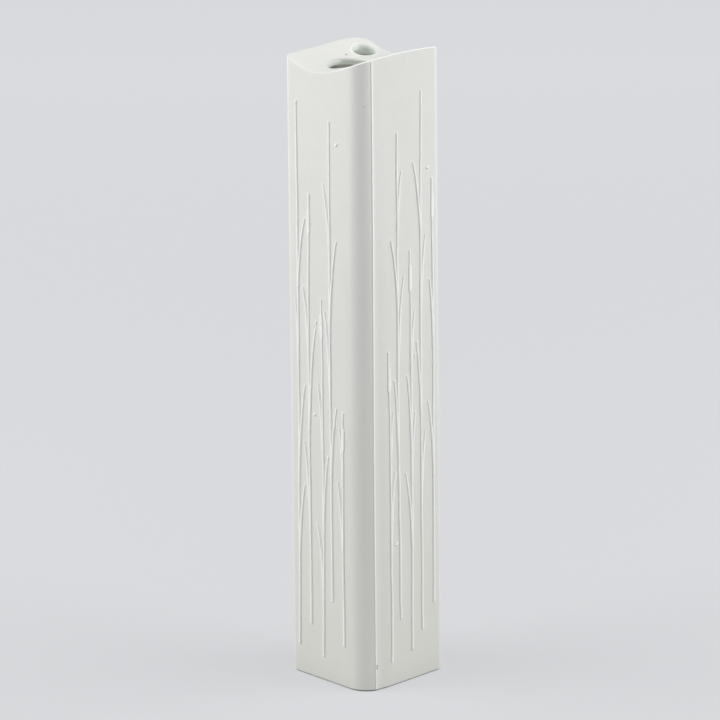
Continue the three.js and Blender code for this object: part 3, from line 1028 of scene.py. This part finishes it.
# %% A stray drop
DROP_LONG = 2.2 * MM
DROP_SIZE = 0.8
DROP_LEAN = 1.4
DROP_BESIDE = 0.09
DROP_LOWEST = 0.12
DROP_SPREAD = 0.8
DROP_SCATTER = 0.0193


def stray_drop(curve, spot, seed):
    """A short drop that fell from the nozzle."""
    lean = DROP_LEAN * steady(0.5, seed)
    end = spot + DROP_LONG * Vector((math.sin(lean), math.cos(lean), 0))
    trail(curve, (spot, (spot + end) / 2, end), seed, SMALL_TIP, 0, DROP_SIZE)


# %% A reed on its face
def reed(name, design, window, turn, seed):
    """Draws a reed flat, makes it a mesh and turns it onto its face."""
    root, tip, bow, with_seeds, leaves = design
    wide = window[1] - window[0]

    def spot(shares):
        return Vector((window[0] + shares[0] * wide, REED_LOW + shares[1] * REED_HIGH, 0))

    bpy.ops.object.select_all(action="DESELECT")
    bpy.ops.curve.primitive_nurbs_path_add()
    curve = bpy.context.object
    curve.name = name
    curve.data.splines.clear()
    curve.data.bevel_depth = THREAD_WIDE / 2
    curve.data.bevel_resolution = 3

    start, end = spot(root), spot(tip)
    control = (start + end) / 2 + Vector((2 * bow * wide, 0, 0))
    stalk = trail(curve, (start, control, end), seed)
    long = (end - start).length
    for number, (along, side, spread, leaf_long) in enumerate(leaves):
        base = stalk(along)
        base.x += WANDER * steady(along * long / WANDER_LONG, seed)
        reach = Vector((side * spread * wide, leaf_long * REED_HIGH, 0))
        bend = Vector((LEAF_BEND[0] * reach.x, LEAF_BEND[1] * reach.y, 0))
        trail(curve, (base, base + bend, base + reach), seed + 20 + number, LEAF_TIP)
    if with_seeds:
        seed_head(curve, stalk, long, seed + 40)
        beside = math.copysign(DROP_BESIDE, 0.5 - root[0])
        up = DROP_LOWEST + DROP_SPREAD * (DROP_SCATTER * seed % 1)
        stray_drop(curve, spot((root[0] + beside, up)), seed + 60)

    bpy.ops.object.convert(target="MESH")
    bpy.ops.object.mode_set(mode="EDIT")
    bpy.ops.mesh.select_all(action="SELECT")
    bpy.ops.mesh.remove_doubles(threshold=THREAD_POLE)
    bpy.ops.object.mode_set(mode="OBJECT")
    for vertex in curve.data.vertices:
        proud = THREAD_PROUD if vertex.co.z > 0 else THREAD_SUNK
        vertex.co.z *= proud / (THREAD_WIDE / 2)
    curve.matrix_world = (
        Matrix.Rotation(turn, 4, "Z")
        @ Matrix.Translation((0, -HALF, 0))
        @ Matrix.Rotation(math.pi / 2, 4, "X")
    )
    bpy.ops.object.transform_apply(location=True, rotation=True, scale=True)
    bpy.ops.object.shade_smooth()
    return curve


FACES = [
    ("front", TALL_REEDS, ARC_WINDOW),
    ("right", SHORT_REEDS, FLANK_WINDOW),
    ("rear", TALL_REEDS, ARC_WINDOW),
    ("left", SHORT_REEDS, FLANK_WINDOW),
]
reeds = []
for quarter, (face, designs, window) in enumerate(FACES):
    for number, design in enumerate(designs, 1):
        turn = quarter * math.pi / 2
        seed = 100 * quarter + 10 * number
        piece = reed(f"slip_{face}_{number}", design, window, turn, seed)
        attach(piece, "root")
        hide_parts(f"{face}_reed_{number}")
        reeds.append(piece)
print("reeds:", len(reeds), "faces", sum(len(piece.data.polygons) for piece in reeds))

# %% [markdown]
# ## The bisque
# Porcelain that is fired without a glaze is matt and a little velvety, like fine eggshell. Its
# white leans towards a warm green grey, and towards the foot it is painted a little darker and
# warmer, as shade. Close up it shows a fine grain, faint clouds where the clay was wetter, and a
# few dark iron specks. The edge that it stands on is painted grey, nearly black under the front
# corner, as the contact shadow, and the mouths' lips towards the front corner get a painted
# highlight. A painted image could carry these, but noise worked out from the place on the piece
# fits every side and never repeats.

# %% Bisque
BISQUE_TOP = (0.8, 0.808, 0.772, 1)
BISQUE_SHADED_FOOT = (0.77, 0.777, 0.717, 1)
CLOUD = (0.745, 0.756, 0.715, 1)
SPECK = (0.3, 0.27, 0.25, 1)
# Painted contact shadow on the edge the vase stands on, nearly black under the front corner.
CONTACT_SHADE = (0.2, 0.195, 0.19, 1)
CONTACT_SHADE_CORNER = (0.03, 0.032, 0.033, 1)
WHITE = (0.975, 0.98, 0.96, 1)
CLOUDS_WIDE = 34 * MM
CLOUDS_SMALL = 6 * MM
GRAIN_SCALE = 0.45 * MM
PORE_SCALE = 0.16 * MM
PALE_HIGH = 0.29
MOTTLE_WIDE = 0.3
MOTTLE_SMALL = 0.18
MOTTLE_GRAIN = 0.1
SPECKS_APART = 9 * MM
SPECKS_FROM = (0.93, 0.94)
SPECK_EDGE = (0.012, 0.03)
SPECKS_FAINT = 0.7
LIP_HIGH = (TROUGH_HIGH - 3 * MM, TROUGH_HIGH - 2 * MM)
LIP_FADES = (1.2 * MM, 2.4 * MM)
LIP_SHARE = 0.6
STAND_FADES = (0.3 * MM, 1 * MM)
STAND_SHARE = 0.85
CORNER_FROM = (27 * MM, 29.5 * MM)
TO_FRONT = (math.sqrt(0.5), -math.sqrt(0.5), 0)
# Each speck's place and radius, in millimetres, and its share of the speck's colour.
SPECKS = [
    ((-13.1, 3.0, 294.3), 0.6, 1),
    ((23.4, -21.36, 281.9), 0.4, 0.35),
    ((24.1, -17.4, 11.0), 0.5, 1),
    ((24.1, -17.4, 12.2), 0.5, 1),
]


def place_of(finish):
    return finish.node("ShaderNodeTexCoord", output="Object")


def cloud(finish, place, size, detail=2):
    """Noise from 0 to 1 with features of about one size, in metres."""
    return finish.node(
        "ShaderNodeTexNoise",
        None,
        {"Vector": place, "Scale": 1 / size, "Detail": detail, "Roughness": 0.5},
    )


def blend(finish, share, first, second):
    """Mixes two colours by a share."""
    return finish.node(
        "ShaderNodeMix",
        {"data_type": "RGBA", "clamp_factor": True},
        {"Factor": share, 6: first, 7: second},
        2,
    )


def height_of(finish, place):
    return finish.node("ShaderNodeSeparateXYZ", None, {0: place}, 2)


def measure(finish, operation, place, other):
    """A number from two vectors, such as their distance."""
    inputs = {0: place, 1: other}
    return finish.node("ShaderNodeVectorMath", {"operation": operation}, inputs, "Value")


def plan_distance(finish, place, spot):
    """Distance from an upright line."""
    flat = finish.node("ShaderNodeVectorMath", {"operation": "MULTIPLY"}, {0: place, 1: (1, 1, 0)})
    return measure(finish, "DISTANCE", flat, (*spot[:2], 0))


def dots(finish, place):
    """1 in the middle of each iron speck and 0 outside: a few named ones and a sprinkling."""
    total = 0
    for spot, radius, share in SPECKS:
        far = measure(finish, "DISTANCE", place, [value * MM for value in spot])
        total = total + share * (1 - smooth_step(far, 0.5 * radius * MM, 1.3 * radius * MM))
    cells = {"Vector": place, "Scale": 1 / SPECKS_APART, "Randomness": 1}
    far = finish.node("ShaderNodeTexVoronoi", None, cells, "Distance")
    kind = finish.node("ShaderNodeTexVoronoi", None, cells, "Color")
    chosen = finish.node("ShaderNodeSeparateColor", None, {0: kind})
    rare = smooth_step(chosen, *SPECKS_FROM)
    return total + SPECKS_FAINT * rare * (1 - smooth_step(far, *SPECK_EDGE))


def forward_of(finish, place):
    """How far a place lies towards the front round corner."""
    return measure(finish, "DOT_PRODUCT", place, TO_FRONT)


def lip_highlight(finish, place, mouth):
    """1 on a mouth's lip towards the front corner, where a highlight is painted."""
    from_mouth = plan_distance(finish, place, mouth) - mouth[2]
    before = forward_of(finish, place) - (mouth[0] - mouth[1]) * TO_FRONT[0]
    on_top = smooth_step(height_of(finish, place), *LIP_HIGH)
    near = 1 - smooth_step(from_mouth, *LIP_FADES)
    return near * smooth_step(before, 0.3 * mouth[2], 0.7 * mouth[2]) * on_top


def porcelain(name, whiter, roughness, grain_deep):
    """Unglazed porcelain. `whiter` is a share of white, `grain_deep` the depth of its grain."""
    finish = Finish(name)
    place = place_of(finish)
    wide = cloud(finish, place, CLOUDS_WIDE)
    small = cloud(finish, place, CLOUDS_SMALL, 3)
    grain = cloud(finish, place, GRAIN_SCALE, 3)
    pores = cloud(finish, place, PORE_SCALE, 1)
    high = height_of(finish, place)
    # Painted shade: the bisque gets darker and warmer towards the foot.
    tone = blend(finish, smooth_step(high, 0, PALE_HIGH), BISQUE_SHADED_FOOT, BISQUE_TOP)
    mottle = smooth_step(wide, 0.35, 0.75) * MOTTLE_WIDE
    mottle = mottle + smooth_step(small, 0.4, 0.7) * MOTTLE_SMALL
    mottle = mottle + smooth_step(grain, 0.45, 0.7) * MOTTLE_GRAIN
    tone = blend(finish, mottle, tone, CLOUD)
    # The painted highlights on the seams, the crest's arris and the upright corners.
    seam = finish.node("ShaderNodeAttribute", {"attribute_name": "painted_highlight"}, output="Fac")
    lips = lip_highlight(finish, place, MAIN_MOUTH) + lip_highlight(finish, place, STEM_MOUTH)
    # Painted highlights on the seams, corners, crest and lips; the slip is whiter all over.
    tone = blend(finish, seam + LIP_SHARE * lips + whiter, tone, WHITE)
    tone = blend(finish, dots(finish, place), tone, SPECK)
    # Painted contact shadow on the foot's edge, darkest under the front round corner.
    stand = 1 - smooth_step(high, *STAND_FADES)
    at_corner = smooth_step(forward_of(finish, place), *CORNER_FROM)
    contact_tone = blend(finish, at_corner, CONTACT_SHADE, CONTACT_SHADE_CORNER)
    contact_share = STAND_SHARE + (1 - STAND_SHARE) * at_corner
    tone = blend(finish, contact_share * stand, tone, contact_tone)
    bump = finish.node(
        "ShaderNodeBump",
        None,
        {"Height": grain + 0.5 * pores, "Distance": grain_deep, "Strength": 1},
    )
    surface = finish.node(
        "ShaderNodeBsdfPrincipled",
        None,
        {
            "Base Color": tone,
            "Roughness": roughness + 0.06 * small,
            "Normal": bump,
            "Specular IOR Level": 0.35,
        },
    )
    finish.surface(surface)
    return finish.material


bisque = porcelain("matt_bisque", 0, 0.6, 0.02 * MM)
slip = porcelain("trailed_slip", 1, 0.52, 0.008 * MM)

# %% [markdown]
# ## The glaze
# A clear glossy glaze lines the inside. It looks faintly green, and at its edge on the far side
# of the large throat it is painted with a thin olive line. Thin porcelain lets light through, so
# the throats and the wall right behind the small mouth glow a little, while the wall further
# down is painted a warm dark grey, as shade. The light could be followed through the clay, but
# that costs very long renders, so the glow is part of the glaze.

# %% Glaze
GLAZE_PALE = (0.7, 0.75, 0.71, 1)
GLAZE_GREEN = (0.58, 0.66, 0.6, 1)
GLAZE_SHADED = (0.6, 0.57, 0.5, 1)
OLIVE = (0.36, 0.36, 0.28, 1)
FAINT = (0.022, 0.02, 0.016, 1)
GLOW = (0.225, 0.245, 0.22, 1)
GLOW_THROAT = 0.75
GLOW_ENDS = (289.0 * MM, 290.7 * MM)
DEEP_ENDS = (289.4 * MM, 287.2 * MM)
OLIVE_BEHIND = (2.6 * MM, 4.5 * MM)
OLIVE_SHARE = 0.75
GLOW_REACH = (8.6 * MM, 12 * MM)
GLOW_FADE = 0.8 * MM
FLOW_SCALE = 5 * MM
RIPPLE_SCALE = 1.6 * MM
RIPPLE_DEEP = 0.05 * MM

shine = Finish("clear_glaze")
place = place_of(shine)
high = height_of(shine, place)
flow = cloud(shine, place, FLOW_SCALE, 2)
waves = cloud(shine, place, RIPPLE_SCALE, 2)
edge = shine.node("ShaderNodeAttribute", {"attribute_name": "rim"}, output="Fac")
in_throat = shine.node("ShaderNodeAttribute", {"attribute_name": "throat"}, output="Fac")
tone = blend(shine, smooth_step(flow, 0.3, 0.7), GLAZE_PALE, GLAZE_GREEN)
# Painted shade: the glaze deeper inside is a warm dark grey.
tone = blend(shine, smooth_step(high, *DEEP_ENDS), tone, GLAZE_SHADED)
by_main = plan_distance(shine, place, MAIN_MOUTH)
depth = shine.node("ShaderNodeSeparateXYZ", None, {0: place}, 1) - MAIN_MOUTH[1]
# A thin olive line at the glaze's edge, on the far side of the large throat.
olive_line = smooth_step(edge, 0.3, 0.8) * smooth_step(depth, *OLIVE_BEHIND)
olive_line = olive_line * (1 - smooth_step(by_main, MAIN_MOUTH[2] + MM, MAIN_MOUTH[2] + 2 * MM))
tone = blend(shine, OLIVE_SHARE * olive_line, tone, OLIVE)
by_stem = plan_distance(shine, place, STEM_MOUTH)
behind = (1 - smooth_step(by_stem, *GLOW_REACH)) * smooth_step(high, *GLOW_ENDS)
shown = smooth_step(by_stem, STEM_MOUTH[2], STEM_MOUTH[2] + GLOW_FADE) * behind
glow = blend(shine, shown + GLOW_THROAT * in_throat, FAINT, GLOW)
ripple = shine.node(
    "ShaderNodeBump", None, {"Height": waves, "Distance": RIPPLE_DEEP, "Strength": 1}
)
shine.surface(
    shine.node(
        "ShaderNodeBsdfPrincipled",
        None,
        {
            "Base Color": tone,
            "Roughness": 0.1 + 0.1 * smooth_step(edge, 0.3, 1),
            "Normal": ripple,
            "IOR": 1.52,
            "Emission Color": glow,
            "Emission Strength": 1,
        },
    )
)

# %% [markdown]
# ## What each piece stands for
# Each new piece takes the place of one or more plain CAD nodes, which stay behind it, unseen,
# for the simulation. The fired body is one piece of clay, so one skin stands for the foot, the
# two wall halves and the cap. Hiding the nodes by hand would work here too, but then nothing
# would tell which piece stands for which.

# %% Finishes and bodies
body.data.materials.append(bisque)
glaze.data.materials.append(shine.material)
for piece in reeds:
    piece.data.materials.append(slip)
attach(body, "root")
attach(glaze, "root")
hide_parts("foot_plate", "wall_front_left", "wall_rear_right", "wave_cap")
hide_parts("glaze_lining")
print("finishes", [body.active_material.name, glaze.active_material.name, slip.name])

# %% [markdown]
# ## The end

# %% The last lines
import json
